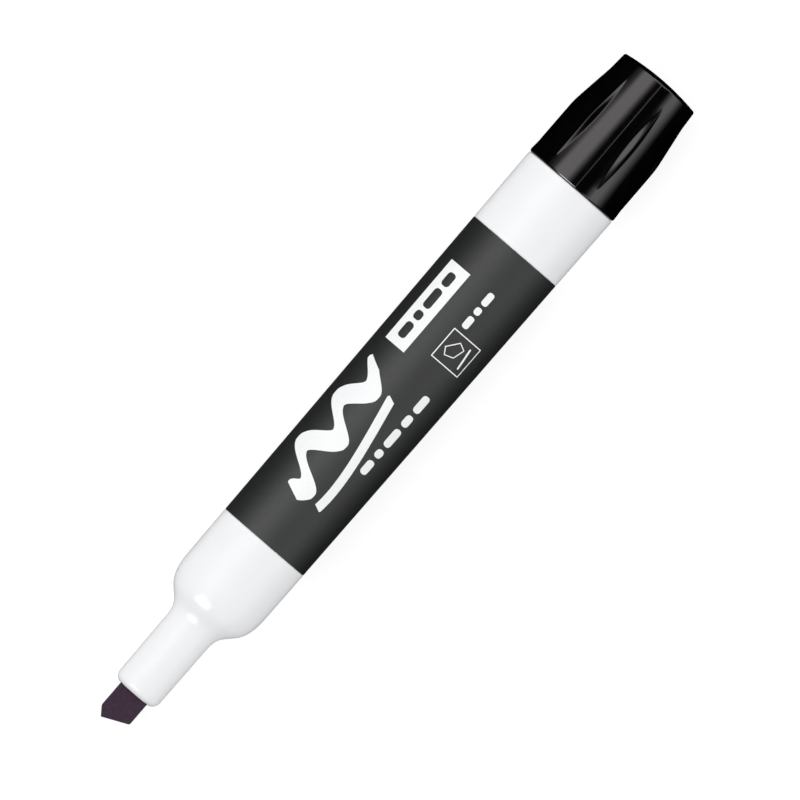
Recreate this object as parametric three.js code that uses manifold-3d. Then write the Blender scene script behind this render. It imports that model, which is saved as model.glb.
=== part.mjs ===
// Whiteboard marker with a chisel nib. Its cap is pushed onto the post at its rear end.
//
// Millimetres, +Z up. The marker lies along X: the nib points to -X, the closed end of the
// cap to +X, and the broad face of the nib looks up. Each piece is drawn by its distance
// along the marker from the tip of the nib ("along") and its distance from the centre line
// ("radius"). The group at the end puts the middle of the marker over the origin and its
// lowest line at Z = 0.

import Module from "manifold-3d";
import * as THREE from "three";
import { mergeVertices } from "three/addons/utils/BufferGeometryUtils.js";

// ---- driving dimensions ----------------------------------------------------------------

const SIDES = 20;            // flats round each turned piece, with one of them facing down
const CURVE_STEPS = 5;       // straight steps along each curved stretch of an outline
const FIT_GAP = 0.1;         // between a piece and the one that it is pressed into

const WHOLE_LENGTH = 132.72; // tip of the nib to the end of the cap on its post

// Barrel: a nozzle, an S-curved shoulder and a long tube that widens towards the rear.
const NOSE_END = 6.07;
const NOSE_RADIUS = 4.08;
const NOSE_ROUNDING = 1.5;
const NOZZLE_END = 18.8;
const NOZZLE_RADIUS = 4.16;
const SHOULDER_MIDDLE = { along: 22.97, radius: 6.38 };
const SHOULDER_SLOPE = THREE.MathUtils.degToRad(40.4);
const SHOULDER_HANDLES = { foot: 2.5, beforeMiddle: 1.47, afterMiddle: 0.33, crown: 4 };
const SHOULDER_END = 28.35;
const TUBE_FRONT_RADIUS = 7.98;
const BARREL_END = 110.8;
const TUBE_REAR_RADIUS = 8.5;
const REAR_CHAMFER = 0.35;

// The barrel's bore, with a wider seat for the rear plug and ribs that centre the reservoir.
const BORE_FRONT = 23.2;
const BORE_FRONT_RADIUS = 3.9;
const BORE_START = 29.2;
const BORE_START_RADIUS = 6.8;
const BORE_HANDLES = { along: 4, outward: 1.7 };
const BORE_END_RADIUS = 7;
const PLUG_SEAT = 102.5;
const PLUG_SEAT_RADIUS = 7.3;
const CENTRING_RIBS = 4;
const CENTRING_RIB_WIDTH = 0.8;
const CENTRING_RIB_SPAN = { start: 32, end: 100 };

// Label: a film in a shallow recess of the barrel.
const LABEL_SPAN = { start: 37.24, end: 97.45 };
const LABEL_THICKNESS = 0.12;
const LABEL_RECESS = 0.16;

// Nib: a flat bar of felt with a slanted chisel edge in front and a tapered tail.
const NIB_HALF_WIDTH = 2.68;
const NIB_THICKNESS = 3.7;
const NIB_HEEL = 1.95;       // along, at the -Y side
const NIB_TIP_Y = 1.56;      // the tip itself is at along = 0
const NIB_CORNER = 1.5;      // along, at the +Y side
const NIB_TAIL = { start: 29.8, end: 34.2, halfWidth: 1.8 };
const NIB_CHANNEL_GAP = 0.05;

// Ink reservoir: a fibre rod in a film tube.
const RESERVOIR_SPAN = { start: 29.6, end: 101.8 };
const CORE_RADIUS = 6.15;
const WRAP_INNER_RADIUS = 6.18;
const WRAP_RADIUS = 6.3;

// Rear plug: closes the barrel, and its open end is the post for the cap.
const PLUG_RADIUS = 7.2;
const PLUG_FLOOR = 1.3;
const PLUG_CHAMFER = 0.4;
const POST_END = 121.8;
const POCKET_RADIUS = 5.4;

// Cap: a conical shell with grip ribs, a domed end and a small flat in the middle of it.
const CAP_LIP = BARREL_END;
const CAP_LIP_RADIUS = 8.6;
const CAP_LIP_CHAMFER = 0.35;
const CAP_RIM = 132.1;
const CAP_RIM_RADIUS = 7.14;
const CAP_WALL = 1.15;
const CAP_FLOOR = 131.3;
const CAP_FLAT_RADIUS = 2.5;
const SEAL_SEAT_DEPTH = 4;

// Grip ribs: pointed at both ends, with a crest that bends down once, over the cap's middle.
const GRIP_RIBS = 6;
const FIRST_RIB_ANGLE = THREE.MathUtils.degToRad(24.3); // from +Z towards -Y
const GRIP_RIB_HALF_WIDTH = 0.9;
const GRIP_RIB_ROOT = 0.5;   // how deep a rib reaches into the wall
const GRIP_RIB_CREST = {
  start: { along: 113, radius: 8.46 },
  bend: { along: 121.4, radius: 8.45 },
  end: { along: 128.7, radius: 7.36 },
};

// Seal: the cup inside the cap that closes round the nozzle.
const SEAL_RADIUS = 5;
const SEAL_MOUTH = 116.9;
const SEAL_REAR = CAP_FLOOR - FIT_GAP;
const SEAL_FLOOR = 0.5;
const SEAL_LEAD_IN = 0.3;
const NOZZLE_SOCKET_RADIUS = 4.13;
const NIB_SPACE_RADIUS = 3.55;
const NIB_SPACE_DEPTH = 6.3;

// ---- shared shapes ---------------------------------------------------------------------

const wasm = await Module();
wasm.setup();

// A flat's distance from the centre line, as a share of a corner's distance.
const FLAT_SHARE = Math.cos(Math.PI / SIDES);

/** A path through [along, radius] points joined by straight lines. */
function straightOutline(points) {
  return new THREE.Path(points.map(([along, radius]) => new THREE.Vector2(along, radius)));
}

/** Turns a path of (along, radius) round the centre line, its flats lying at the radius. */
function turned(outline) {
  const points = outline.getPoints(CURVE_STEPS).map(
    ({ x: along, y: radius }) => new THREE.Vector2(radius / FLAT_SHARE, along),
  );
  return new THREE.LatheGeometry(points, SIDES, Math.PI / SIDES).rotateZ(-Math.PI / 2);
}

/** A flat shape in X and Y, made `depth` thick upwards from Z = `bottom`. */
function slab(shape, bottom, depth) {
  const options = { depth, bevelEnabled: false, curveSegments: CURVE_STEPS };
  return new THREE.ExtrudeGeometry(shape, options).translate(0, 0, bottom);
}

/** A closed geometry as a solid that can be joined and cut. */
function solid(geometry) {
  const bare = geometry.clone();
  bare.deleteAttribute("normal");
  bare.deleteAttribute("uv");
  const { attributes, index } = mergeVertices(bare);
  const triangles = [];
  for (let i = 0; i < index.count; i += 3) {
    const corners = [index.getX(i), index.getX(i + 1), index.getX(i + 2)];
    if (new Set(corners).size === 3) {
      triangles.push(...corners);
    }
  }
  return new wasm.Manifold(new wasm.Mesh({
    numProp: 3,
    vertProperties: attributes.position.array,
    triVerts: new Uint32Array(triangles),
  }));
}

/** A solid as a geometry. */
function geometryOf(body) {
  const { vertProperties, triVerts } = body.getMesh();
  const geometry = new THREE.BufferGeometry();
  geometry.setAttribute("position", new THREE.BufferAttribute(vertProperties, 3));
  geometry.setIndex(new THREE.BufferAttribute(triVerts, 1));
  geometry.computeVertexNormals();
  return geometry;
}

/** A named piece with its own plastic, felt or film material. */
function piece(name, geometry, color, roughness) {
  const material = new THREE.MeshStandardMaterial({ color, roughness, metalness: 0 });
  const mesh = new THREE.Mesh(geometry, material);
  mesh.name = name;
  return mesh;
}

/** Outer radius of the barrel's tube. */
function tubeRadius(along) {
  return THREE.MathUtils.mapLinear(
    along, SHOULDER_END, BARREL_END, TUBE_FRONT_RADIUS, TUBE_REAR_RADIUS,
  );
}

/** Outer radius of the cap between its ribs. */
function capRadius(along) {
  return THREE.MathUtils.mapLinear(along, CAP_LIP, CAP_RIM, CAP_LIP_RADIUS, CAP_RIM_RADIUS);
}

// ---- barrel and label ------------------------------------------------------------------

/** Draws the outside of the nose, the nozzle and the shoulder, front to rear. */
function drawNozzleAndShoulder(path) {
  const { along, radius } = SHOULDER_MIDDLE;
  const { foot, beforeMiddle, afterMiddle, crown } = SHOULDER_HANDLES;
  const [across, up] = [Math.cos(SHOULDER_SLOPE), Math.sin(SHOULDER_SLOPE)];
  path.moveTo(NOSE_END, 0);
  path.lineTo(NOSE_END, NOSE_RADIUS - NOSE_ROUNDING);
  path.absarc(
    NOSE_END + NOSE_ROUNDING, NOSE_RADIUS - NOSE_ROUNDING,
    NOSE_ROUNDING, Math.PI, Math.PI / 2, true,
  );
  path.lineTo(NOZZLE_END, NOZZLE_RADIUS);
  path.bezierCurveTo(
    NOZZLE_END + foot, NOZZLE_RADIUS,
    along - beforeMiddle * across, radius - beforeMiddle * up,
    along, radius,
  );
  path.bezierCurveTo(
    along + afterMiddle * across, radius + afterMiddle * up,
    SHOULDER_END - crown, TUBE_FRONT_RADIUS,
    SHOULDER_END, TUBE_FRONT_RADIUS,
  );
}

/** Draws the bore, rear to front, from the mouth to the closed front end. */
function drawBore(path) {
  path.lineTo(BARREL_END, PLUG_SEAT_RADIUS);
  path.lineTo(PLUG_SEAT, PLUG_SEAT_RADIUS);
  path.lineTo(PLUG_SEAT, BORE_END_RADIUS);
  path.lineTo(BORE_START, BORE_START_RADIUS);
  path.bezierCurveTo(
    BORE_START - BORE_HANDLES.along, BORE_START_RADIUS,
    BORE_FRONT, BORE_FRONT_RADIUS + BORE_HANDLES.outward,
    BORE_FRONT, BORE_FRONT_RADIUS,
  );
  path.lineTo(BORE_FRONT, 0);
}

/** The barrel before the channel for the nib is cut. */
function barrelOutline() {
  const { start, end } = LABEL_SPAN;
  const chamferStart = BARREL_END - REAR_CHAMFER;
  const path = new THREE.Path();
  drawNozzleAndShoulder(path);
  path.lineTo(start, tubeRadius(start));
  path.lineTo(start, tubeRadius(start) - LABEL_RECESS);
  path.lineTo(end, tubeRadius(end) - LABEL_RECESS);
  path.lineTo(end, tubeRadius(end));
  path.lineTo(chamferStart, tubeRadius(chamferStart));
  path.lineTo(BARREL_END, TUBE_REAR_RADIUS - REAR_CHAMFER);
  drawBore(path);
  return path;
}

/** One straight rib in the bore, on the +Z side, let into the wall by a fit gap. */
function centringRib() {
  const { start, end } = CENTRING_RIB_SPAN;
  const bottom = WRAP_RADIUS + FIT_GAP;
  const top = BORE_END_RADIUS + FIT_GAP;
  const rib = new THREE.BoxGeometry(end - start, CENTRING_RIB_WIDTH, top - bottom);
  return rib.translate((start + end) / 2, 0, (bottom + top) / 2);
}

/** The straight channel that runs from the nose into the bore and holds the nib. */
function nibChannel() {
  const channel = new THREE.BoxGeometry(
    2 * (BORE_FRONT - NOSE_END),
    2 * (NIB_HALF_WIDTH + NIB_CHANNEL_GAP),
    NIB_THICKNESS + 2 * NIB_CHANNEL_GAP,
  );
  return channel.translate((NOSE_END + BORE_FRONT) / 2, 0, 0);
}

function barrel() {
  let body = solid(turned(barrelOutline()));
  for (let i = 0; i < CENTRING_RIBS; i += 1) {
    body = body.add(solid(centringRib().rotateX((2 * Math.PI * i) / CENTRING_RIBS)));
  }
  body = body.subtract(solid(nibChannel()));
  return piece("barrel", geometryOf(body), 0xf4f5f4, 0.28);
}

function label() {
  const start = LABEL_SPAN.start + FIT_GAP;
  const end = LABEL_SPAN.end - FIT_GAP;
  const outline = straightOutline([
    [start, tubeRadius(start) - LABEL_THICKNESS],
    [start, tubeRadius(start)],
    [end, tubeRadius(end)],
    [end, tubeRadius(end) - LABEL_THICKNESS],
    [start, tubeRadius(start) - LABEL_THICKNESS],
  ]);
  return piece("label", turned(outline), 0x24292b, 0.42);
}

// ---- nib and reservoir -----------------------------------------------------------------

/** Plan of a tapered bar like the nib's tail, `grow` larger all round, after `front`. */
function barPlan(front, grow) {
  const width = NIB_HALF_WIDTH + grow;
  const tailWidth = NIB_TAIL.halfWidth + grow;
  const points = [
    ...front,
    [NIB_TAIL.start, width],
    [NIB_TAIL.end + grow, tailWidth],
    [NIB_TAIL.end + grow, -tailWidth],
    [NIB_TAIL.start, -width],
  ];
  return new THREE.Shape(points.map(([x, y]) => new THREE.Vector2(x, y)));
}

function nib() {
  const chisel = [[NIB_HEEL, -NIB_HALF_WIDTH], [0, NIB_TIP_Y], [NIB_CORNER, NIB_HALF_WIDTH]];
  const geometry = slab(barPlan(chisel, 0), -NIB_THICKNESS / 2, NIB_THICKNESS);
  return piece("nib", geometry, 0x3a2b3c, 0.95);
}

/** The fibre rod, with a pocket in its front end for the nib's tail. */
function reservoirCore() {
  const { start, end } = RESERVOIR_SPAN;
  const rod = straightOutline([[start, 0], [start, CORE_RADIUS], [end, CORE_RADIUS], [end, 0]]);
  const width = NIB_HALF_WIDTH + FIT_GAP;
  const depth = NIB_THICKNESS + 2 * FIT_GAP;
  const pocket = slab(barPlan([[0, -width], [0, width]], FIT_GAP), -depth / 2, depth);
  const body = solid(turned(rod)).subtract(solid(pocket));
  return piece("reservoir_core", geometryOf(body), 0x17151a, 1);
}

function reservoirWrap() {
  const { start, end } = RESERVOIR_SPAN;
  const outline = straightOutline([
    [start, WRAP_INNER_RADIUS],
    [start, WRAP_RADIUS],
    [end, WRAP_RADIUS],
    [end, WRAP_INNER_RADIUS],
    [start, WRAP_INNER_RADIUS],
  ]);
  return piece("reservoir_wrap", turned(outline), 0xd8dade, 0.35);
}

// ---- rear plug -------------------------------------------------------------------------

/** A cup with its floor inside the barrel; its post narrows as the cap round it does. */
function rearPlug() {
  const front = PLUG_SEAT + FIT_GAP;
  const floor = front + PLUG_FLOOR;
  const postRadius = PLUG_RADIUS + capRadius(POST_END) - CAP_LIP_RADIUS;
  const outline = straightOutline([
    [front, 0],
    [front, PLUG_RADIUS - PLUG_CHAMFER],
    [front + PLUG_CHAMFER, PLUG_RADIUS],
    [CAP_LIP, PLUG_RADIUS],
    [POST_END - PLUG_CHAMFER, postRadius],
    [POST_END, postRadius - PLUG_CHAMFER],
    [POST_END, POCKET_RADIUS],
    [floor, POCKET_RADIUS],
    [floor, 0],
  ]);
  return piece("rear_plug", turned(outline), 0x101011, 0.3);
}

// ---- cap and its seal ------------------------------------------------------------------

/** The cap without its ribs: the inside from its end wall to the lip, then the outside. */
function capOutline() {
  const seatRadius = SEAL_RADIUS + FIT_GAP;
  const seatFront = CAP_FLOOR - SEAL_SEAT_DEPTH;
  const chamferEnd = CAP_LIP + CAP_LIP_CHAMFER;
  const path = straightOutline([
    [CAP_FLOOR, 0],
    [CAP_FLOOR, seatRadius],
    [seatFront, seatRadius],
    [seatFront, capRadius(seatFront) - CAP_WALL],
    [CAP_LIP, CAP_LIP_RADIUS - CAP_WALL],
    [CAP_LIP, CAP_LIP_RADIUS - CAP_LIP_CHAMFER],
    [chamferEnd, capRadius(chamferEnd)],
    [CAP_RIM, CAP_RIM_RADIUS],
  ]);
  path.quadraticCurveTo(
    WHOLE_LENGTH, (CAP_RIM_RADIUS + CAP_FLAT_RADIUS) / 2,
    WHOLE_LENGTH, CAP_FLAT_RADIUS,
  );
  path.lineTo(WHOLE_LENGTH, 0);
  return path;
}

/** One grip rib on the +Z side: its pointed plan, cut to the line of its crest. */
function gripRib() {
  const { start, bend, end } = GRIP_RIB_CREST;
  const plan = new THREE.Shape();
  plan.moveTo(start.along, 0);
  plan.quadraticCurveTo(bend.along, -2 * GRIP_RIB_HALF_WIDTH, end.along, 0);
  plan.quadraticCurveTo(bend.along, 2 * GRIP_RIB_HALF_WIDTH, start.along, 0);
  const side = new THREE.Shape([
    new THREE.Vector2(start.along, capRadius(start.along) - GRIP_RIB_ROOT),
    new THREE.Vector2(end.along, capRadius(end.along) - GRIP_RIB_ROOT),
    new THREE.Vector2(end.along, end.radius),
    new THREE.Vector2(bend.along, bend.radius),
    new THREE.Vector2(start.along, start.radius),
  ]);
  const sideWidth = 4 * GRIP_RIB_HALF_WIDTH;
  const standingSide = slab(side, -sideWidth / 2, sideWidth).rotateX(Math.PI / 2);
  const pillar = slab(plan, 0, 2 * CAP_LIP_RADIUS);
  return geometryOf(solid(pillar).intersect(solid(standingSide)));
}

function capShell() {
  const rib = gripRib();
  let body = solid(turned(capOutline()));
  for (let i = 0; i < GRIP_RIBS; i += 1) {
    const angle = FIRST_RIB_ANGLE + (2 * Math.PI * i) / GRIP_RIBS;
    body = body.add(solid(rib.clone().rotateX(angle)));
  }
  return piece("cap_shell", geometryOf(body), 0x101011, 0.22);
}

function capSeal() {
  const bottom = SEAL_REAR - SEAL_FLOOR;
  const step = bottom - NIB_SPACE_DEPTH;
  const outline = straightOutline([
    [bottom, 0],
    [bottom, NIB_SPACE_RADIUS],
    [step, NIB_SPACE_RADIUS],
    [step, NOZZLE_SOCKET_RADIUS],
    [SEAL_MOUTH + SEAL_LEAD_IN, NOZZLE_SOCKET_RADIUS],
    [SEAL_MOUTH, NOZZLE_SOCKET_RADIUS + SEAL_LEAD_IN],
    [SEAL_MOUTH, SEAL_RADIUS],
    [SEAL_REAR, SEAL_RADIUS],
    [SEAL_REAR, 0],
  ]);
  return piece("cap_seal", turned(outline), 0xe6e6e2, 0.45);
}

// ---- the marker ------------------------------------------------------------------------

const marker = new THREE.Group();
marker.add(barrel(), label(), nib(), reservoirCore(), reservoirWrap(), rearPlug());
marker.add(capShell(), capSeal());

// The cap is widest just behind the chamfer of its lip, so the marker lies on that line.
const LOWEST_RADIUS = capRadius(CAP_LIP + CAP_LIP_CHAMFER);
marker.position.set(-WHOLE_LENGTH / 2, 0, LOWEST_RADIUS);

export default marker;
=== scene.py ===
"""Looks of the whiteboard marker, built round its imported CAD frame.

Blender's units are metres. Outlines are drawn in millimetres, as distance along the marker from
the tip of the nib ("along") and distance from its centre line ("radius"). Angles round the centre
line are in radians from +Z towards -Y, and "width" is a distance round the label in that sense.
"""

import functools
import math

import bmesh
import bpy
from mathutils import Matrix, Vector, noise
from mathutils.geometry import convex_hull_2d, delaunay_2d_cdt


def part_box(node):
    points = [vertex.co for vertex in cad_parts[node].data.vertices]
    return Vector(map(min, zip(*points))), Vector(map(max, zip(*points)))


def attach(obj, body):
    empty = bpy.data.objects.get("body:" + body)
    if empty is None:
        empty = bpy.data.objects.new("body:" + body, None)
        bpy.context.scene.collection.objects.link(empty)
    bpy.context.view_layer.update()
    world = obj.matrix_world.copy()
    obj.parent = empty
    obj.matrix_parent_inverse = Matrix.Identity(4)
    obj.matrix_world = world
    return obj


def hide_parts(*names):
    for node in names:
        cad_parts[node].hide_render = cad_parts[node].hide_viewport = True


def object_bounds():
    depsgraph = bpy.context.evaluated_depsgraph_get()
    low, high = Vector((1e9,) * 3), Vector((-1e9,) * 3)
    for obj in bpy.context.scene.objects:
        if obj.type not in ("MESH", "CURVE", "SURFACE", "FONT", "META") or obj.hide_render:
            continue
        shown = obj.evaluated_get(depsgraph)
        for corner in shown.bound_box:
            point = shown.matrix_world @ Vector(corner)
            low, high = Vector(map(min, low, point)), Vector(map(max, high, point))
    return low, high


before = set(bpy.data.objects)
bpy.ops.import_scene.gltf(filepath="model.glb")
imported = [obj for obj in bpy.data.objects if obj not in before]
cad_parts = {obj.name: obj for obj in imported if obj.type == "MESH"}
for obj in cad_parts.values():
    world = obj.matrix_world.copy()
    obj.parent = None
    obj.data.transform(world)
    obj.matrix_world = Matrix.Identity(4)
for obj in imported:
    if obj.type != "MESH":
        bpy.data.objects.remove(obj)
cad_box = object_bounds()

MM = 0.001
TAU = 2 * math.pi

# ---- places, read from the frame ---------------------------------------------------------

FRONT = cad_box[0].x
AXIS_Z = (cad_box[0].z + cad_box[1].z) / 2


def span(node):
    """Where a CAD node starts and ends along the marker, and half its width."""
    low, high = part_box(node)
    return (low.x - FRONT) / MM, (high.x - FRONT) / MM, (high.y - low.y) / 2 / MM


NOSE_END, BARREL_END, BARREL_RADIUS = span("barrel")
LABEL_START, LABEL_END = span("label")[:2]
CORE_START, CORE_END, CORE_RADIUS = span("reservoir_core")
WRAP_START, WRAP_END, WRAP_RADIUS = span("reservoir_wrap")
PLUG_START, POST_END, PLUG_RADIUS = span("rear_plug")
CAP_LIP, CAP_END = span("cap_shell")[:2]
SEAL_MOUTH, SEAL_END, SEAL_RADIUS = span("cap_seal")
NIB_END, NIB_HALF_WIDTH = span("nib")[1:]
NIB_HALF_THICKNESS = (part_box("nib")[1].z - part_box("nib")[0].z) / 2 / MM

# ---- sizes of the pieces, in millimetres -------------------------------------------------

NOSE_RADIUS = 4.08
NOSE_ROUNDING = 1.5
NOSE_FRONT_RADIUS = 3.75     # where the rings on the nose's front meet its rounding
NOZZLE_END = 18.8
NOZZLE_RADIUS = 4.16
SHOULDER_MIDDLE = Vector((22.97, 6.38))
SHOULDER_SLOPE = math.radians(40.4)
SHOULDER_END = 28.35
TUBE_FRONT_RADIUS = 7.98
BORE_FRONT = 23.2
BORE_FRONT_RADIUS = 3.9
BORE_START = 29.2
BORE_START_RADIUS = 6.8
BORE_END_RADIUS = 7.0
PLUG_SEAT_RADIUS = 7.3
REAR_EDGE_ROUNDING = 0.35
SEAT_LEAD_IN = 0.25
CENTRING_RIBS = 4
CENTRING_RIB_START = 32
CENTRING_RIB_END = 100
CENTRING_RIB_HALF_WIDTH = 0.4
CENTRING_RIB_EDGE = 0.1

LABEL_THICKNESS = 0.12
LABEL_RECESS = 0.16
LABEL_GAP = 0.1
LABEL_EDGE = 0.03
OVERLAP_START = math.radians(174)
OVERLAP_END = math.radians(186)
OVERLAP_HEIGHT = 0.03
INK_HEIGHT = 0.02
INK_DEPTH = LABEL_THICKNESS / 3
BEND_STEP = 0.4              # width of the flat strips that a print is bent into

CHANNEL_GAP = 0.05
CHANNEL_ROUNDING = 0.4
CHANNEL_EDGE = 0.12
NIB_HEEL = 1.95
NIB_TIP_WIDTH = 1.56
NIB_CORNER = 1.5
NIB_EDGE = 0.22
NIB_TAIL_START = 29.8
NIB_TAIL_HALF_WIDTH = 1.8
NIB_SIDE_ROUNDING = 0.28
FELT_RELIEF = 0.022
POCKET_GAP = 0.1
POCKET_ROUNDING = 0.3
WRAP_THICKNESS = 0.12
WRAP_LAP_HALF_WIDTH = math.radians(14)
WRAP_LAP_HEIGHT = 0.04

POST_POCKET_RADIUS = 5.4
PLUG_FLOOR = 1.3
PLUG_ROUNDING = 0.5
CRUSH_RIBS = 12
CRUSH_RIB_HALF_WIDTH = math.radians(3)
CRUSH_RIB_HEIGHT = 0.06
SNAP_BEAD_FROM_END = 2.6
SNAP_BEAD_HALF_WIDTH = 0.7
SNAP_BEAD_HEIGHT = 0.1

CAP_RIM = 132.1
CAP_RIM_RADIUS = 7.14
CAP_LIP_RADIUS = 8.6
CAP_WALL = 1.15
CAP_LIP_ROUNDING = 0.45
CAP_RIM_ROUNDING = 0.4
SEAL_SEAT_DEPTH = 4
FIT_GAP = 0.1

RIBS = 6
FIRST_RIB = math.radians(24.3)
RIB_START = 113.1
RIB_BEND = 121.4
RIB_END = 129.1
RIB_CREST_RADIUS = 8.5
RIB_CREST_FALL = 0.148       # radius lost per millimetre behind the bend
RIB_BEND_SOFTNESS = 0.12
RIB_HALF_WIDTH = 0.86
RIB_TIP_HALF_WIDTH = 0.16
RIB_WALL = 0.9               # share of the half-width where the rib's side meets the cone
RIB_CREST_SOFTNESS = 0.07    # share of the half-width that the crest's rounding takes
RIB_FOOT_SOFTNESS = 0.1      # height of the hollow foot, as a share of the rib's
PARTING_LINE = math.radians(4.4)
PARTING_HEIGHT = 0.018
PARTING_HALF_WIDTH = math.radians(0.6)

NOZZLE_SOCKET_RADIUS = 4.13
NIB_SPACE_RADIUS = 3.55
NIB_SPACE_DEPTH = 6.3
SEAL_FLOOR = 0.5
SEAL_BEADS = (1.3, 3.1)      # distances from the seal's mouth
SEAL_BEAD_HALF_WIDTH = 0.5
SEAL_BEAD_HEIGHT = 0.12

# ---- lines -------------------------------------------------------------------------------


def rounded(corners, steps=6):
    """Points through (along, radius, rounding) corners, each turned on an arc of its rounding."""
    points = []
    for i, (along, radius, rounding) in enumerate(corners):
        here = Vector((along, radius))
        if rounding == 0:
            points.append(here)
            continue
        towards = (here - Vector(corners[i - 1][:2])).normalized()
        away = (Vector(corners[(i + 1) % len(corners)][:2]) - here).normalized()
        half_turn = math.acos(max(-1, min(1, towards.dot(away)))) / 2
        centre = here + (away - towards).normalized() * rounding / math.cos(half_turn)
        first = here - towards * rounding * math.tan(half_turn) - centre
        last = here + away * rounding * math.tan(half_turn) - centre
        for k in range(steps + 1):
            points.append(centre + first.lerp(last, k / steps).normalized() * rounding)
    return points


def bezier(start, start_handle, end_handle, end, steps):
    """Points on a cubic Bezier curve, both ends included."""
    points = []
    for i in range(steps + 1):
        t = i / steps
        s = 1 - t
        points.append(
            start * s**3 + start_handle * 3 * s * s * t + end_handle * 3 * s * t * t + end * t**3
        )
    return points


def supported(points, closed=False, margin=0.1, longest=6.0):
    """The same line with points added along its long stretches and close to their ends."""
    result = []
    followers = points[1:] + (points[:1] if closed else [])
    for here, after in zip(points, followers):
        result.append(here)
        length = (after - here).length
        if length > 4 * margin:
            inner = max(1, round(length / longest))
            shares = [margin / length]
            shares += [i / inner for i in range(1, inner)]
            shares += [1 - margin / length]
            result += [here.lerp(after, share) for share in shares]
    if not closed:
        result.append(points[-1])
    return result


def tube_radius(along):
    """Radius of the barrel's tapered tube."""
    share = (along - SHOULDER_END) / (BARREL_END - SHOULDER_END)
    return TUBE_FRONT_RADIUS + share * (BARREL_RADIUS - TUBE_FRONT_RADIUS)


def cap_radius(along):
    """Radius of the cap's cone between its ribs."""
    share = (along - CAP_LIP) / (CAP_RIM - CAP_LIP)
    return CAP_LIP_RADIUS + share * (CAP_RIM_RADIUS - CAP_LIP_RADIUS)


def bar_radius(half_width, half_thickness, rounding):
    """Distance to the wall of a bar with rounded corners, as a function of the angle."""
    inner_y = half_width - rounding
    inner_z = half_thickness - rounding

    def radius(angle):
        y, z = abs(math.sin(angle)), abs(math.cos(angle))
        straight = min(half_width / max(y, 1e-9), half_thickness / max(z, 1e-9))
        if straight * y <= inner_y or straight * z <= inner_z:
            return straight
        middle = y * inner_y + z * inner_z
        return middle + math.sqrt(middle**2 - inner_y**2 - inner_z**2 + rounding**2)

    return radius


def bump(distance, half_width):
    """A smooth hump of height 1 that ends at a distance of its half-width."""
    share = min(1, abs(distance) / half_width)
    return (1 - share**2) ** 2


# ---- meshes ------------------------------------------------------------------------------


def place(along, radius, angle):
    """A point of the marker in Blender's frame."""
    return Vector((
        FRONT + along * MM,
        -radius * math.sin(angle) * MM,
        AXIS_Z + radius * math.cos(angle) * MM,
    ))


def make_object(name, vertices, faces, body, slot, sharp=math.radians(40)):
    """A smooth mesh object that rides on a body; edges sharper than `sharp` stay crisp."""
    mesh = bpy.data.meshes.new(name)
    mesh.from_pydata(vertices, [], faces)
    work = bmesh.new()
    work.from_mesh(mesh)
    bmesh.ops.remove_doubles(work, verts=work.verts, dist=1e-7)
    bmesh.ops.recalc_face_normals(work, faces=work.faces)
    work.to_mesh(mesh)
    work.free()
    mesh.shade_smooth()
    mesh.set_sharp_from_angle(angle=sharp)
    piece = bpy.data.objects.new(name, mesh)
    bpy.context.scene.collection.objects.link(piece)
    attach(piece, body)
    return piece


def skin(rings, closed):
    """Vertices and faces of the surface through rings of points; a ring of one is a pole."""
    vertices = [point for ring in rings for point in ring]
    starts = [0]
    for ring in rings:
        starts.append(starts[-1] + len(ring))
    pairs = list(zip(range(len(rings) - 1), range(1, len(rings))))
    if closed:
        pairs.append((len(rings) - 1, 0))
    faces = []
    for i, j in pairs:
        count = max(len(rings[i]), len(rings[j]))
        for k in range(count):
            m = (k + 1) % count
            near = [starts[i] + k, starts[i] + m] if len(rings[i]) > 1 else [starts[i]]
            far = [starts[j] + m, starts[j] + k] if len(rings[j]) > 1 else [starts[j]]
            faces.append(near + far)
    return vertices, faces


def even_angles(count):
    """Evenly spaced angles all the way round."""
    return [TAU * i / count for i in range(count)]


def value_at(size, angle):
    """A size that is either a number or a function of the angle."""
    return size(angle) if callable(size) else size


def ring(along, radius, angles):
    """A ring of points; along and radius are numbers or functions of the angle."""
    if radius == 0:
        return [place(along, 0, 0)]
    return [place(value_at(along, angle), value_at(radius, angle), angle) for angle in angles]


def raised(relief, along, radius, angle):
    """A radius with the height that a relief adds at that place."""
    return radius + relief(along, radius, angle)


def revolve(name, outline, count, body, slot, closed=False, relief=None):
    """Turns a line round the marker. `relief` adds height as a function of a point's place."""
    angles = even_angles(count)
    rings = []
    for p in supported(outline, closed):
        radius = max(p.y, 0)
        if relief and radius:
            radius = functools.partial(raised, relief, p.x, p.y)
        rings.append(ring(p.x, radius, angles))
    return make_object(name, *skin(rings, closed), body, slot)


# ---- barrel ------------------------------------------------------------------------------


def nose_along(radius):
    """Where the nose's front surface is at a distance from the centre line."""
    flat = NOSE_RADIUS - NOSE_ROUNDING
    if radius <= flat:
        return NOSE_END
    depth = math.sqrt(NOSE_ROUNDING**2 - (min(radius, NOSE_RADIUS) - flat) ** 2)
    return NOSE_END + NOSE_ROUNDING - depth


def nose_curve(start_radius):
    """The nose's rounding, from a radius on its front out to the nozzle."""
    flat = NOSE_RADIUS - NOSE_ROUNDING
    start = math.acos((start_radius - flat) / NOSE_ROUNDING)
    points = []
    for i in range(9):
        angle = start * (1 - i / 8)
        points.append(Vector((
            NOSE_END + NOSE_ROUNDING * (1 - math.sin(angle)),
            flat + NOSE_ROUNDING * math.cos(angle),
        )))
    return points


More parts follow.
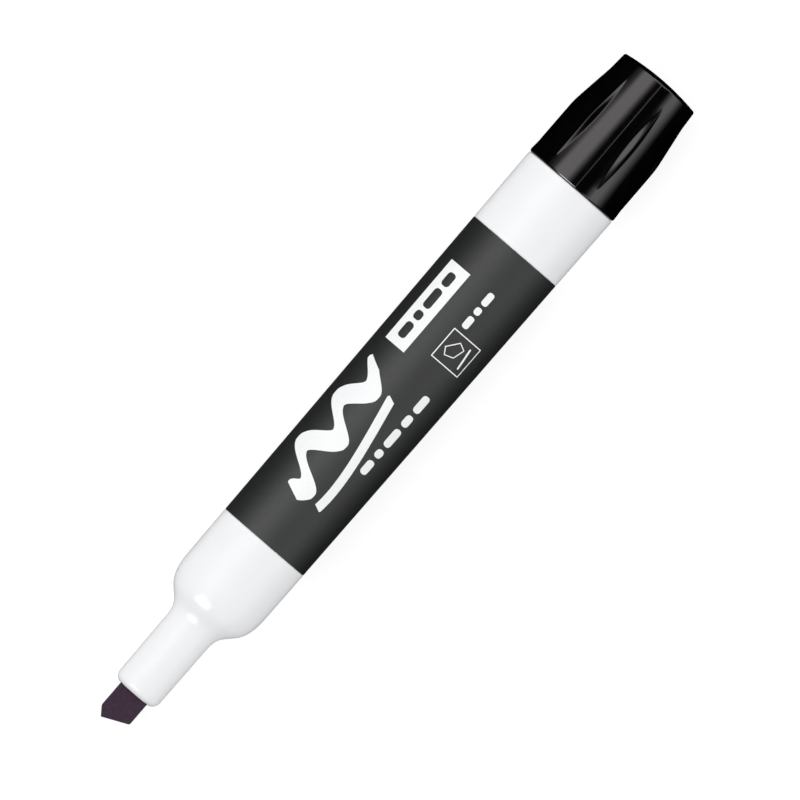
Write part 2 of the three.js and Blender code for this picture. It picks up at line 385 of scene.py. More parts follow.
def shoulder_curve():
    """The S-curve between the nozzle and the tube."""
    slope = Vector((math.cos(SHOULDER_SLOPE), math.sin(SHOULDER_SLOPE)))
    foot = Vector((NOZZLE_END, NOZZLE_RADIUS))
    crown = Vector((SHOULDER_END, TUBE_FRONT_RADIUS))
    foot_handle = foot + Vector((2.5, 0))
    crown_handle = crown - Vector((4, 0))
    lower = bezier(foot, foot_handle, SHOULDER_MIDDLE - slope * 1.47, SHOULDER_MIDDLE, 18)
    upper = bezier(SHOULDER_MIDDLE, SHOULDER_MIDDLE + slope * 0.33, crown_handle, crown, 24)
    return lower + upper[1:]


def tube_and_bore():
    """The tube with the label's recess, the rear edge, and the bore back to its front wall."""
    recess_start = LABEL_START - LABEL_GAP
    recess_end = LABEL_END + LABEL_GAP
    seat = PLUG_START - FIT_GAP
    corners = rounded([
        (SHOULDER_END, TUBE_FRONT_RADIUS, 0),
        (recess_start, tube_radius(recess_start), LABEL_EDGE),
        (recess_start, tube_radius(recess_start) - LABEL_RECESS, 0),
        (recess_end, tube_radius(recess_end) - LABEL_RECESS, 0),
        (recess_end, tube_radius(recess_end), LABEL_EDGE),
        (BARREL_END, BARREL_RADIUS, REAR_EDGE_ROUNDING),
        (BARREL_END, PLUG_SEAT_RADIUS, SEAT_LEAD_IN),
        (seat, PLUG_SEAT_RADIUS, 0),
        (seat, BORE_END_RADIUS, 0),
        (BORE_START, BORE_START_RADIUS, 0),
    ])
    front = bezier(
        Vector((BORE_START, BORE_START_RADIUS)),
        Vector((BORE_START - 4, BORE_START_RADIUS)),
        Vector((BORE_FRONT, BORE_FRONT_RADIUS + 1.7)),
        Vector((BORE_FRONT, BORE_FRONT_RADIUS)),
        12,
    )
    return corners[1:-1] + front


def make_barrel():
    """A revolved shell whose front ends in the bar-shaped channel for the nib."""
    angles = even_angles(288)
    hole = bar_radius(
        NIB_HALF_WIDTH + CHANNEL_GAP, NIB_HALF_THICKNESS + CHANNEL_GAP, CHANNEL_ROUNDING,
    )

    def nose_ring(share):
        """A ring on the nose's front, between the channel's edge and the nose's rounding."""
        points = []
        for angle in angles:
            radius = (hole(angle) + CHANNEL_EDGE) * (1 - share) + NOSE_FRONT_RADIUS * share
            points.append(place(nose_along(radius), radius, angle))
        return points

    def edge_ring(turn):
        """A ring on the rounded edge between the channel and the nose's front."""
        depth = CHANNEL_EDGE * (1 - math.sin(turn))
        inset = CHANNEL_EDGE * (1 - math.cos(turn))
        points = []
        for angle in angles:
            along = nose_along(hole(angle) + CHANNEL_EDGE) + depth
            points.append(place(along, hole(angle) + inset, angle))
        return points

    rings = [edge_ring(math.radians(22.5 * i)) for i in range(4)]
    rings += [nose_ring(i / 6) for i in range(6)]
    outline = nose_curve(NOSE_FRONT_RADIUS) + shoulder_curve() + tube_and_bore()
    rings += [ring(p.x, p.y, angles) for p in supported(outline)]
    for along in (BORE_FRONT, BORE_FRONT - 0.1, NOSE_END + 4, NOSE_END + 1.2):
        rings.append(ring(along, hole, angles))
    piece = make_object("barrel_moulding", *skin(rings, True), "barrel", "white_plastic")
    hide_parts("barrel")
    return piece


def make_centring_rib(index):
    """One of the straight ribs in the bore that hold the reservoir in the middle."""
    turn = TAU * index / CENTRING_RIBS
    inner = WRAP_RADIUS + FIT_GAP
    outer = BORE_END_RADIUS + FIT_GAP
    side, edge = CENTRING_RIB_HALF_WIDTH, CENTRING_RIB_EDGE
    section = [
        (-side, outer), (-side, inner + edge), (edge - side, inner),
        (side - edge, inner), (side, inner + edge), (side, outer),
    ]
    rings = []
    for along in (CENTRING_RIB_START, CENTRING_RIB_END):
        rings.append([
            place(along, math.hypot(y, z), turn + math.atan2(y, z)) for y, z in section
        ])
    vertices, faces = skin(rings, False)
    count = len(section)
    faces += [list(range(count)), list(range(count, 2 * count))]
    return make_object(f"centring_rib_{index + 1}", vertices, faces, "barrel", "white_plastic")


# ---- label -------------------------------------------------------------------------------


def make_label():
    """A film wrapped round the barrel, with its overlap on the underside."""

    def overlap(along, radius, angle):
        if radius < tube_radius(along) - LABEL_THICKNESS / 2:
            return 0
        if not OVERLAP_START <= angle <= OVERLAP_END:
            return 0
        return OVERLAP_HEIGHT * (angle - OVERLAP_START) / (OVERLAP_END - OVERLAP_START)

    outline = rounded([
        (LABEL_START, tube_radius(LABEL_START) - LABEL_THICKNESS, 0),
        (LABEL_START, tube_radius(LABEL_START), LABEL_EDGE),
        (LABEL_END, tube_radius(LABEL_END), LABEL_EDGE),
        (LABEL_END, tube_radius(LABEL_END) - LABEL_THICKNESS, 0),
    ])
    piece = revolve("label_film", outline, 288, "barrel", "label_film", True, overlap)
    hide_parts("label")
    return piece


# ---- print on the label: flat shapes in (along, width) -----------------------------------


def inside(point, polygon):
    """Whether a point is inside a simple polygon."""
    crossings = 0
    for a, b in zip(polygon, polygon[1:] + polygon[:1]):
        if (a.y > point.y) != (b.y > point.y):
            crossings += point.x < a.x + (point.y - a.y) / (b.y - a.y) * (b.x - a.x)
    return crossings % 2 == 1


def flat_region(solids, holes):
    """A flat mesh of everything inside the solid polygons and outside the holes."""
    vertices, outlines = [], []
    for polygon in [*solids, *holes]:
        outlines.append(list(range(len(vertices), len(vertices) + len(polygon))))
        vertices += polygon
    points, _, triangles, *_ = delaunay_2d_cdt(vertices, [], outlines, 0, 1e-5)
    work = bmesh.new()
    corners = [work.verts.new((p.x, p.y, 0)) for p in points]
    for triangle in triangles:
        middle = sum((points[i] for i in triangle), Vector((0, 0))) / 3
        solid = any(inside(middle, polygon) for polygon in solids)
        if solid and not any(inside(middle, polygon) for polygon in holes):
            work.faces.new([corners[i] for i in triangle])
    loose = [corner for corner in corners if not corner.link_faces]
    bmesh.ops.delete(work, geom=loose, context="VERTS")
    return work


def print_on_label(name, solids, holes=()):
    """A thin layer of ink, wrapped onto the label."""
    work = flat_region(solids, holes)
    widths = [v.co.y for v in work.verts]
    first, last = math.ceil(min(widths) / BEND_STEP), math.floor(max(widths) / BEND_STEP)
    for i in range(first, last + 1):
        geometry = [*work.verts, *work.edges, *work.faces]
        bend = (0, i * BEND_STEP, 0)
        bmesh.ops.bisect_plane(work, geom=geometry, plane_co=bend, plane_no=(0, 1, 0))
    work.verts.index_update()
    count = len(work.verts)
    middle_radius = tube_radius((LABEL_START + LABEL_END) / 2)
    vertices = []
    for lift in (INK_HEIGHT, -INK_DEPTH):
        for v in work.verts:
            angle = v.co.y / middle_radius
            vertices.append(place(v.co.x, tube_radius(v.co.x) + lift, angle))
    faces = []
    for face in work.faces:
        corners = [v.index for v in face.verts]
        faces.append(corners)
        faces.append([i + count for i in reversed(corners)])
    for edge in work.edges:
        if len(edge.link_faces) == 1:
            a, b = (v.index for v in edge.verts)
            faces.append([a, b, b + count, a + count])
    work.free()
    return make_object(name, vertices, faces, "barrel", "print_ink")


def oblong(along, width, length, height, rounding=0.0):
    """A rectangle round a centre, with square or rounded corners."""
    corners = []
    steps = 5 if rounding else 1
    for quarter, (side_x, side_y) in enumerate(((1, 1), (-1, 1), (-1, -1), (1, -1))):
        centre = Vector((
            along + side_x * (length / 2 - rounding),
            width + side_y * (height / 2 - rounding),
        ))
        for i in range(steps):
            angle = math.radians(90 * quarter + 90 * i / max(1, steps - 1))
            corners.append(centre + rounding * Vector((math.cos(angle), math.sin(angle))))
    return corners


def bar_row(start, width, height, lengths, gap, rounding):
    """Rounded bars in a row, in place of words."""
    bars = []
    for length in lengths:
        bars.append(oblong(start + length / 2, width, length, height, rounding))
        start += length + gap
    return bars


def pen_stroke(path, pen):
    """Polygons swept by a pen's outline that is drawn along a path."""
    polygons = []
    for a, b in zip(path, path[1:]):
        swept = [a + p for p in pen] + [b + p for p in pen]
        polygons.append([swept[i] for i in convex_hull_2d(swept)])
    return polygons


def chisel_pen(length, thickness, angle):
    """The outline of a chisel tip held at an angle."""
    along = Vector((math.cos(angle), math.sin(angle))) * length / 2
    across = Vector((-math.sin(angle), math.cos(angle))) * thickness / 2
    return [
        along * 1.05, along * 0.95 + across, -along * 0.95 + across,
        -along * 1.05, -along * 0.95 - across, along * 0.95 - across,
    ]


def round_pen(diameter):
    """The outline of a round pen."""
    return [
        Vector((math.cos(TAU * i / 8), math.sin(TAU * i / 8))) * diameter / 2 for i in range(8)
    ]


def wave(start, end, swing, periods, steps):
    """A sine wave between two (along, width) points whose swing shrinks towards its end."""
    points = []
    for i in range(steps + 1):
        share = i / steps
        height = swing * (1 - 0.4 * share) * math.sin(TAU * periods * share + 0.5)
        points.append(start.lerp(end, share) + Vector((0, height)))
    return points


def make_print():
    """Generic white print: a brushed wave, plain bars, a panel and a nib pictogram."""
    brush = chisel_pen(3.5, 1.0, math.radians(112))
    waves = pen_stroke(wave(Vector((46.8, -3.2)), Vector((69.6, -5.0)), 2.9, 2.5, 80), brush)
    swash = bezier(
        Vector((47, 3.0)), Vector((52, 3.7)), Vector((59, 2.1)), Vector((67, 0.5)), 24,
    )
    waves += pen_stroke(swash, chisel_pen(1.5, 0.5, math.radians(112)))
    pieces = [print_on_label("print_wave", waves)]

    caption = bar_row(55.4, 4.9, 1.5, (2.6, 1.5, 3.4, 2.1, 3.2), 0.75, 0.6)
    pieces.append(print_on_label("print_caption", caption))

    panel = oblong(82.0, -5.2, 16.0, 4.7)
    words = bar_row(75.5, -5.2, 1.7, (2.9, 1.6, 3.7, 2.5), 0.75, 0.6)
    pieces.append(print_on_label("print_panel", [panel], words))

    line = 0.17
    frame_outer = oblong(79.3, 3.7, 5.7, 6.1)
    frame_inner = oblong(79.3, 3.7, 5.7 - 2 * line, 6.1 - 2 * line)
    pieces.append(print_on_label("print_icon_frame", [frame_outer], [frame_inner]))
    tip = [(77.9, 2.2), (79.0, 1.5), (80.9, 3.0), (80.3, 4.3), (78.4, 3.7), (77.9, 2.2)]
    tip_path = [Vector(p) for p in tip]
    written = [Vector((77.6, 5.6)), Vector((81.0, 5.1))]
    icon = pen_stroke(tip_path, round_pen(line)) + pen_stroke(written, round_pen(2 * line))
    pieces.append(print_on_label("print_icon_nib", icon))

    label_words = bar_row(83.0, 1.75, 1.15, (2.2, 1.3, 2.4), 0.55, 0.45)
    pieces.append(print_on_label("print_icon_caption", label_words))
    return pieces


# ---- nib and reservoir -------------------------------------------------------------------


def nib_front(width):
    """Where the nib's slanted front is, at a width towards +Y."""
    if width < NIB_TIP_WIDTH:
        return NIB_HEEL * (NIB_TIP_WIDTH - width) / (NIB_TIP_WIDTH + NIB_HALF_WIDTH)
    return NIB_CORNER * (width - NIB_TIP_WIDTH) / (NIB_HALF_WIDTH - NIB_TIP_WIDTH)


def fibres(along, angle, radius):
    """Height of the felt's surface: fine streaks that run along the nib."""
    y, z = radius * math.sin(angle), radius * math.cos(angle)
    return FELT_RELIEF * noise.fractal(Vector((along * 0.9, y * 5, z * 5)), 0.8, 2.2, 3)


def make_nib():
    """A bar of pressed felt with softened edges, a slanted chisel front and a tapered tail."""
    angles = even_angles(288)

    def section(half_width, inset):
        rounding = NIB_SIDE_ROUNDING - inset
        return bar_radius(half_width - inset, NIB_HALF_THICKNESS - inset, rounding)

    def felt_ring(depth, wall, share=1.0, fuzz=1.0):
        """A ring behind the slanted front, or across it when its share is under 1."""
        points = []
        for angle in angles:
            radius = wall(angle) * share
            along = nib_front(-radius * math.sin(angle)) + depth
            radius += fuzz * fibres(along, angle, radius)
            points.append(place(along, radius, angle))
        return points

    front = section(NIB_HALF_WIDTH, NIB_EDGE)
    rings = [[place(nib_front(0), 0, 0)]]
    rings += [felt_ring(0, front, share, share) for share in (0.15, 0.3, 0.45, 0.6, 0.75, 0.88)]
    for i in range(6):
        turn = math.radians(18 * i)
        wall = section(NIB_HALF_WIDTH, NIB_EDGE * (1 - math.sin(turn)))
        rings.append(felt_ring(NIB_EDGE * (1 - math.cos(turn)), wall))
    straight = section(NIB_HALF_WIDTH, 0)
    depths = [0.4 + 0.25 * i for i in range(26)] + [8 + 3 * i for i in range(7)]
    rings += [felt_ring(depth, straight) for depth in depths]
    rings.append(ring(NIB_TAIL_START, straight, angles))
    rings.append(ring(NIB_END, section(NIB_TAIL_HALF_WIDTH, 0), angles))
    rings.append([place(NIB_END, 0, 0)])
    piece = make_object("nib_felt", *skin(rings, False), "barrel", "nib_felt")
    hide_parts("nib")
    return piece


def make_core():
    """The fibre rod, with a tapered pocket in its front for the nib's tail."""
    angles = even_angles(144)
    half_thickness = NIB_HALF_THICKNESS + POCKET_GAP
    mouth = bar_radius(NIB_HALF_WIDTH + POCKET_GAP, half_thickness, POCKET_ROUNDING)
    bottom = bar_radius(NIB_TAIL_HALF_WIDTH + POCKET_GAP, half_thickness, POCKET_ROUNDING)
    pocket_end = NIB_END + POCKET_GAP
    rings = [[place(pocket_end, 0, 0)], ring(pocket_end, bottom, angles)]
    rings += [ring(NIB_TAIL_START, mouth, angles), ring(CORE_START, mouth, angles)]
    outside = rounded([
        (CORE_START, CORE_RADIUS - 1, 0),
        (CORE_START, CORE_RADIUS, 0.2),
        (CORE_END, CORE_RADIUS, 0.2),
        (CORE_END, 0, 0),
    ])
    rings += [ring(p.x, max(p.y, 0), angles) for p in supported(outside)]
    piece = make_object("core_fibre", *skin(rings, False), "barrel", "inked_fibre")
    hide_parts("reservoir_core")
    return piece


def make_wrap():
    """The film tube round the fibre rod, with its lap along the top."""

    def lap(along, radius, angle):
        outside = radius > WRAP_RADIUS - WRAP_THICKNESS / 2
        height = WRAP_LAP_HEIGHT * bump(math.remainder(angle, TAU), WRAP_LAP_HALF_WIDTH)
        return height if outside else 0

    outline = [
        Vector((WRAP_START, WRAP_RADIUS - WRAP_THICKNESS)),
        Vector((WRAP_START, WRAP_RADIUS)),
        Vector((WRAP_END, WRAP_RADIUS)),
        Vector((WRAP_END, WRAP_RADIUS - WRAP_THICKNESS)),
    ]
    piece = revolve("wrap_tube", outline, 144, "barrel", "wrap_film", True, lap)
    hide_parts("reservoir_wrap")
    return piece


# ---- rear plug ---------------------------------------------------------------------------


def make_plug():
    """A cup whose open end is the post for the cap, with crush ribs and a snap bead."""
    post_radius = PLUG_RADIUS + cap_radius(POST_END) - CAP_LIP_RADIUS
    floor = PLUG_START + PLUG_FLOOR
    outside = (POST_POCKET_RADIUS + post_radius) / 2

    def grips(along, radius, angle):
        if radius < outside:
            return 0
        crush = bump(math.remainder(angle, TAU / CRUSH_RIBS), CRUSH_RIB_HALF_WIDTH)
        crush *= bump(along - (PLUG_START + CAP_LIP) / 2, (CAP_LIP - PLUG_START) / 2)
        bead = bump(along - (POST_END - SNAP_BEAD_FROM_END), SNAP_BEAD_HALF_WIDTH)
        return CRUSH_RIB_HEIGHT * crush + SNAP_BEAD_HEIGHT * bead

    outline = rounded([
        (PLUG_START, 0, 0),
        (PLUG_START, PLUG_RADIUS, PLUG_ROUNDING),
        (CAP_LIP, PLUG_RADIUS, 0),
        (POST_END, post_radius, PLUG_ROUNDING),
        (POST_END, POST_POCKET_RADIUS, 0.25),
        (floor, POST_POCKET_RADIUS, 0.6),
        (floor, 0, 0),
    ])
    fine = supported(outline, longest=0.35)
    piece = revolve("plug_moulding", fine, 192, "barrel", "plug_plastic", relief=grips)
    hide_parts("rear_plug")
    return piece


# ---- cap and its seal --------------------------------------------------------------------


def rib_half_width(along):
    """Half the width of a rib's pointed plan; past its ends it stays at the tips' width."""
    if not RIB_START < along < RIB_END:
        return RIB_TIP_HALF_WIDTH
    reach = (RIB_BEND - RIB_START) if along < RIB_BEND else (RIB_END - RIB_BEND)
    swell = 1 - ((along - RIB_BEND) / reach) ** 2
    return RIB_TIP_HALF_WIDTH + (RIB_HALF_WIDTH - RIB_TIP_HALF_WIDTH) * swell


def rib_height(along):
    """How far a rib's crest stands out of the cone."""
    if not RIB_START < along < RIB_END:
        return 0
    fall = RIB_CREST_FALL * (along - RIB_BEND)
    dip = (fall + math.hypot(fall, RIB_BEND_SOFTNESS)) / 2
    return max(0, RIB_CREST_RADIUS - dip - cap_radius(along))


def rib_section(share):
    """A rib's height across its width: a low tent with a rounded crest and hollow feet."""

    def tent(at):
        height = 1 - math.hypot(at, RIB_CREST_SOFTNESS) / RIB_WALL
        return (height + math.hypot(height, RIB_FOOT_SOFTNESS)) / 2

    return (tent(share) - tent(1)) / (tent(0) - tent(1))


def parting_ridge(angle):
    """Height of the mould's parting lines, on opposite sides of the cap."""
    return PARTING_HEIGHT * bump(math.remainder(angle - PARTING_LINE, math.pi), PARTING_HALF_WIDTH)


def cap_columns():
    """Columns of points round the cap: (rib's angle, share of its width) or (angle, None)."""
    shares = [0.0]
    for share in (0.04, 0.08, 0.13, 0.2, 0.32, 0.46, 0.6, 0.72, 0.79, 0.84, 0.88, 0.92, 0.96, 1.0):
        shares += [-share, share]
    ridge = [PARTING_HALF_WIDTH * i / 3 for i in range(-3, 4)]
    margin = math.radians(7.5)
    columns = []
    for k in range(RIBS):
        rib = FIRST_RIB + TAU * k / RIBS
        columns += [(rib, share) for share in sorted(shares)]
        first, last = rib + margin, rib + TAU / RIBS - margin
        angles = [first + (last - first) * i / 14 for i in range(15)]
        for line in (PARTING_LINE + math.pi * i for i in range(3)):
            if first < line < last:
                angles = [a for a in angles if abs(a - line) > 1.5 * PARTING_HALF_WIDTH]
                angles += [line + offset for offset in ridge]
        columns += [(angle, None) for angle in sorted(angles)]
    return columns


def cap_outline():
    """Half a section of the cap without ribs: its inside, the lip, the cone and the dome."""
    seat_front = SEAL_END + FIT_GAP - SEAL_SEAT_DEPTH
    seat_radius = SEAL_RADIUS + FIT_GAP
    floor = SEAL_END + FIT_GAP
    corners = [
        (floor, 0, 0),
        (floor, seat_radius, 0.2),
        (seat_front, seat_radius, 0.15),
        (seat_front, cap_radius(seat_front) - CAP_WALL, 0.25),
        (CAP_LIP, CAP_LIP_RADIUS - CAP_WALL, 0.2),
        (CAP_LIP, CAP_LIP_RADIUS, CAP_LIP_ROUNDING),
        (CAP_RIM, CAP_RIM_RADIUS, CAP_RIM_ROUNDING),
    ]
    sag = CAP_END - CAP_RIM
    for i in range(1, 13):
        share = 1 - i / 12
        corners.append((CAP_END - sag * share**2, CAP_RIM_RADIUS * share, 0))
    return rounded(corners)


def make_cap():
    """The ribbed cone with its domed end; its columns of points follow each rib's sides."""
    columns = cap_columns()

    def point(p, column):
        angle, share = column
        outside = p.y > cap_radius(p.x) - CAP_WALL / 2
        height = 0
        if share is not None:
            angle += share * rib_half_width(p.x) / cap_radius(p.x)
            height = rib_height(p.x) * rib_section(share)
        elif p.x > CAP_LIP + 0.3:
            height = parting_ridge(angle)
        return place(p.x, p.y + height if outside else p.y, angle)

    outline = supported(cap_outline(), longest=0.25)
    rings = []
    for p in outline:
        rings.append([point(p, column) for column in columns] if p.y > 1e-6 else [place(p.x, 0, 0)])
    piece = make_object(
        "cap_moulding", *skin(rings, False), "cap", "cap_plastic", sharp=math.radians(50),
    )
    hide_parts("cap_shell")
    return piece


def make_seal():
    """The soft cup in the cap, with two beads that close round the nozzle."""
    bottom = SEAL_END - SEAL_FLOOR
    step = bottom - NIB_SPACE_DEPTH

    def beads(along, radius, angle):
        if not NIB_SPACE_RADIUS + 0.3 < radius < SEAL_RADIUS - 0.3:
            return 0
        depth = along - SEAL_MOUTH
        return -SEAL_BEAD_HEIGHT * sum(bump(depth - at, SEAL_BEAD_HALF_WIDTH) for at in SEAL_BEADS)

    outline = rounded([
        (bottom, 0, 0),
        (bottom, NIB_SPACE_RADIUS, 0.4),
        (step, NIB_SPACE_RADIUS, 0.15),
        (step, NOZZLE_SOCKET_RADIUS, 0.1),
        (SEAL_MOUTH, NOZZLE_SOCKET_RADIUS, 0.3),
        (SEAL_MOUTH, SEAL_RADIUS, 0.3),
        (SEAL_END, SEAL_RADIUS, 0.15),
        (SEAL_END, 0, 0),
    ])
    fine = supported(outline, longest=0.3)
    piece = revolve("seal_cup", fine, 160, "cap", "seal_plastic", relief=beads)
    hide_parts("cap_seal")
    return piece


# ---- materials ---------------------------------------------------------------------------


NOISE_LOW, NOISE_HIGH = 0.3, 0.7     # the range that most of a noise texture's values lie in


def grained(name, colour, roughness, grain, *, spread=0.06, rough_spread=0.03, bump_depth=0.002,
            stretch=(1, 1, 1), specular=0.5, tint=(1, 1, 1)):
    """A surface whose colour, gloss and height follow a noise of a grain size in millimetres.

    stretch is how much longer the grain is along each axis; bump_depth is in millimetres.
    """
    material = bpy.data.materials.new(name)
    material.use_nodes = True
    tree = material.node_tree
    shader = tree.nodes["Principled BSDF"]
    shader.inputs["Specular IOR Level"].default_value = specular
    shader.inputs["Specular Tint"].default_value = (*tint, 1)

    coordinates = tree.nodes.new("ShaderNodeTexCoord")
    mapping = tree.nodes.new("ShaderNodeMapping")
    mapping.inputs["Scale"].default_value = [1 / (grain * MM * s) for s in stretch]
    tree.links.new(coordinates.outputs["Object"], mapping.inputs["Vector"])
    speckle = tree.nodes.new("ShaderNodeTexNoise")
    speckle.inputs["Scale"].default_value = 1
    speckle.inputs["Detail"].default_value = 4
    tree.links.new(mapping.outputs["Vector"], speckle.inputs["Vector"])

    ramp = tree.nodes.new("ShaderNodeValToRGB")
    ramp.color_ramp.elements[0].position = NOISE_LOW
    ramp.color_ramp.elements[1].position = NOISE_HIGH
    ramp.color_ramp.elements[0].color = (*[c * (1 - spread) for c in colour], 1)
    ramp.color_ramp.elements[1].color = (*[min(1, c * (1 + spread)) for c in colour], 1)
    tree.links.new(speckle.outputs["Fac"], ramp.inputs["Fac"])
    tree.links.new(ramp.outputs["Color"], shader.inputs["Base Color"])

    gloss = tree.nodes.new("ShaderNodeMapRange")
    gloss.inputs["From Min"].default_value = NOISE_LOW
    gloss.inputs["From Max"].default_value = NOISE_HIGH
    gloss.inputs["To Min"].default_value = roughness - rough_spread
    gloss.inputs["To Max"].default_value = roughness + rough_spread
    tree.links.new(speckle.outputs["Fac"], gloss.inputs["Value"])
    tree.links.new(gloss.outputs["Result"], shader.inputs["Roughness"])

    relief = tree.nodes.new("ShaderNodeBump")
    relief.inputs["Strength"].default_value = 1
    relief.inputs["Distance"].default_value = bump_depth * MM
    tree.links.new(speckle.outputs["Fac"], relief.inputs["Height"])
    tree.links.new(relief.outputs["Normal"], shader.inputs["Normal"])
    return material


def dress(pieces, material):
    """Gives pieces a material in place of any they have."""
    for piece in pieces:
        piece.data.materials.clear()
        piece.data.materials.append(material)


# ---- camera, floor and lights ------------------------------------------------------------

VIEW_ROLL = math.radians(49.26)
LENS = 1000
SENSOR = 36
FRAME_WIDTH = 125.12 * MM
LOOK_AT = Vector((1.66 * MM, -1.58 * MM, AXIS_Z))

# Lights are placed in metres round the marker's middle. Those that are only reflected shape the
# highlights; the fill, which isn't reflected, and the world give the soft shading.
STRIP_LENGTH = 2.6
LIGHT_DISTANCE = 0.7
STRIP_SPACING = 0.01
# Each long light is a stack of strips: (first lean, last lean, share of the radiance), in degrees
# from straight up towards -Y. The stack fades out at both of its long edges.
KEY_STRIPS = [
    (-4.5, -71, 0.05), (-6.5, -62, 0.12), (-10, -56, 0.23), (-13.5, -51.5, 0.3), (-17.5, -47, 0.3),
]
SIDE_STRIPS = [(37, 86, 0.12), (38, 80, 0.2), (39.5, 75, 0.22), (42.5, 70, 0.22), (47, 64, 0.24)]
KEY_RADIANCE = 2.75
SIDE_RADIANCE = 2.15
FRONT_DIRECTION = Vector((-0.856, 0.222, 0.466)).normalized()
FRONT_SIZE = (0.38, 0.4)
FRONT_RADIANCE = 14
REAR_DIRECTION = Vector((0.84, -0.1, 0.53)).normalized()
REAR_SIZE = (0.45, 0.9)
REAR_RADIANCE = 1.6
FILL_LEAN = math.radians(-13)
FILL_SIZE = (1.4, 1.2)
FILL_DISTANCE = 1.5
FILL_RADIANCE = 2.4
FLOOR_HALF_WIDTH = 6
FLOOR_GREY = 0.22
FLOOR_GLOW = 0.84
WORLD_COLOUR = (0.97, 0.99, 1)
WORLD_STRENGTH = 0.6


def make_camera():
    """Looks straight down, rolled so that the marker runs up to the right."""
    data = bpy.data.cameras.new("camera")
    data.lens = LENS
    data.sensor_width = SENSOR
    data.clip_end = 100
    camera = bpy.data.objects.new("camera", data)
    bpy.context.scene.collection.objects.link(camera)
    camera.location = LOOK_AT + Vector((0, 0, FRAME_WIDTH * LENS / SENSOR))
    camera.rotation_euler = (0, 0, -VIEW_ROLL)
    bpy.context.scene.camera = camera


def softbox(name, direction, size, distance, radiance, reflected):
    """A flat light that faces the marker; the marker either only reflects it or is only lit."""
    length, width = size
    data = bpy.data.lights.new(name, "AREA")
    data.shape = "RECTANGLE"
    data.size = length
    data.size_y = width
    data.energy = radiance * math.pi * length * width
    light = bpy.data.objects.new(name, data)
    bpy.context.scene.collection.objects.link(light)
    light.location = Vector((0, 0, AXIS_Z)) + direction * distance
    light.rotation_euler = direction.to_track_quat("Z", "Y").to_euler()
    light.visible_camera = False
    light.visible_diffuse = not reflected
    light.visible_transmission = not reflected
    light.visible_glossy = reflected


def lean_direction(lean):
    """The direction that leans from straight up towards -Y."""
    return Vector((0, -math.sin(lean), math.cos(lean)))


def strip_stack(name, strips, radiance):
    """A long light whose strips lie one behind another, so that its long edges are soft."""
    for i, (first, last, share) in enumerate(strips):
        distance = LIGHT_DISTANCE + STRIP_SPACING * i
        width = 2 * distance * math.tan(math.radians(abs(last - first)) / 2)
        direction = lean_direction(math.radians((first + last) / 2))
        softbox(f"{name}_{i}", direction, (STRIP_LENGTH, width), distance, radiance * share, True)


def make_lights():
    """Two long strip lights, a small one in front, one behind the cap, and the soft fill."""
    strip_stack("key", KEY_STRIPS, KEY_RADIANCE)
    strip_stack("side", SIDE_STRIPS, SIDE_RADIANCE)
    softbox("front", FRONT_DIRECTION, FRONT_SIZE, LIGHT_DISTANCE, FRONT_RADIANCE, True)
    softbox("rear", REAR_DIRECTION, REAR_SIZE, LIGHT_DISTANCE, REAR_RADIANCE, True)
    softbox("fill", lean_direction(FILL_LEAN), FILL_SIZE, FILL_DISTANCE, FILL_RADIANCE, False)


def make_floor():
    """A pale floor that glows a little, so that it stays near white under soft light."""
    half = FLOOR_HALF_WIDTH
    mesh = bpy.data.meshes.new("floor")
    corners = [(-half, -half, 0), (half, -half, 0), (half, half, 0), (-half, half, 0)]
    mesh.from_pydata(corners, [], [(0, 1, 2, 3)])
    floor = bpy.data.objects.new("floor", mesh)
    bpy.context.scene.collection.objects.link(floor)
    floor.visible_glossy = False
    material = bpy.data.materials.new("pale_floor")
    material.use_nodes = True
    shader = material.node_tree.nodes["Principled BSDF"]
    shader.inputs["Base Color"].default_value = (FLOOR_GREY, FLOOR_GREY, FLOOR_GREY, 1)
    shader.inputs["Roughness"].default_value = 0.9
    shader.inputs["Specular IOR Level"].default_value = 0
    shader.inputs["Emission Color"].default_value = (1, 1, 1, 1)
    shader.inputs["Emission Strength"].default_value = FLOOR_GLOW
    mesh.materials.append(material)


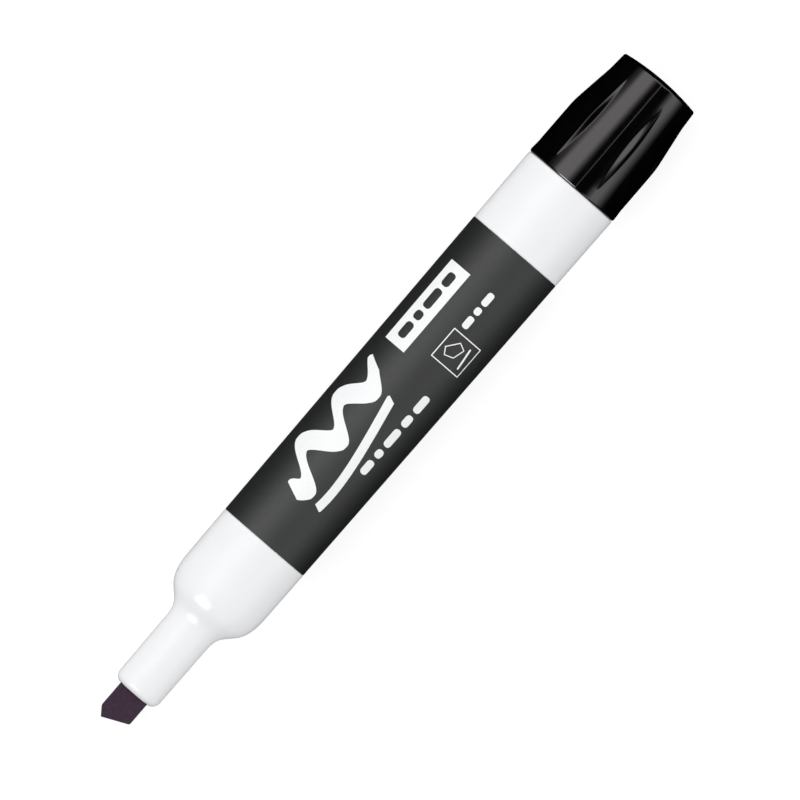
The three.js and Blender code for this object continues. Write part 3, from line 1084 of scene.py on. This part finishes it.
def make_world():
    """A soft, slightly cool light from everywhere, which isn't reflected."""
    world = bpy.data.worlds.new("studio")
    world.use_nodes = True
    background = world.node_tree.nodes["Background"]
    background.inputs["Color"].default_value = (*WORLD_COLOUR, 1)
    background.inputs["Strength"].default_value = WORLD_STRENGTH
    world.cycles_visibility.glossy = False
    bpy.context.scene.world = world


# ---- the scene ---------------------------------------------------------------------------

centring_ribs = [make_centring_rib(index) for index in range(CENTRING_RIBS)]
dress([make_barrel(), *centring_ribs], grained(
    "white_plastic", (0.88, 0.875, 0.885), 0.17, 5, spread=0.006, bump_depth=0.0004, specular=0.13,
))
dress([make_label()], grained(
    "label_film", (0.001, 0.0014, 0.0015), 0.6, 0.6, spread=0.2, bump_depth=0.0008,
    specular=0.66, tint=(0.98, 1, 0.98),
))
dress(make_print(), grained(
    "print_ink", (0.88, 0.88, 0.88), 0.6, 0.3, spread=0.02, bump_depth=0.001, specular=0.3,
))
dress([make_nib()], grained(
    "nib_felt", (0.038, 0.02, 0.036), 0.92, 0.16, spread=0.25, bump_depth=0.015,
    stretch=(5, 1, 1), specular=0.15,
))
dress([make_core()], grained(
    "inked_fibre", (0.012, 0.01, 0.014), 0.95, 0.2, spread=0.4, bump_depth=0.03,
    stretch=(12, 1, 1), specular=0.2,
))
dress([make_wrap()], grained(
    "wrap_film", (0.72, 0.74, 0.77), 0.32, 2.0, spread=0.03, bump_depth=0.002,
))
dress([make_plug()], grained(
    "plug_plastic", (0.003, 0.003, 0.003), 0.3, 0.5, spread=0.3, bump_depth=0.001,
))
dress([make_cap()], grained(
    "cap_plastic", (0.001, 0.001, 0.001), 0.13, 1.2, spread=0.3, rough_spread=0.015,
    bump_depth=0.0004, stretch=(3, 1, 1), tint=(1, 0.95, 0.98),
))
dress([make_seal()], grained(
    "seal_plastic", (0.75, 0.75, 0.72), 0.45, 0.8, spread=0.03, bump_depth=0.001,
))

make_camera()
make_floor()
make_world()
make_lights()
bpy.context.scene.view_settings.view_transform = "Standard"
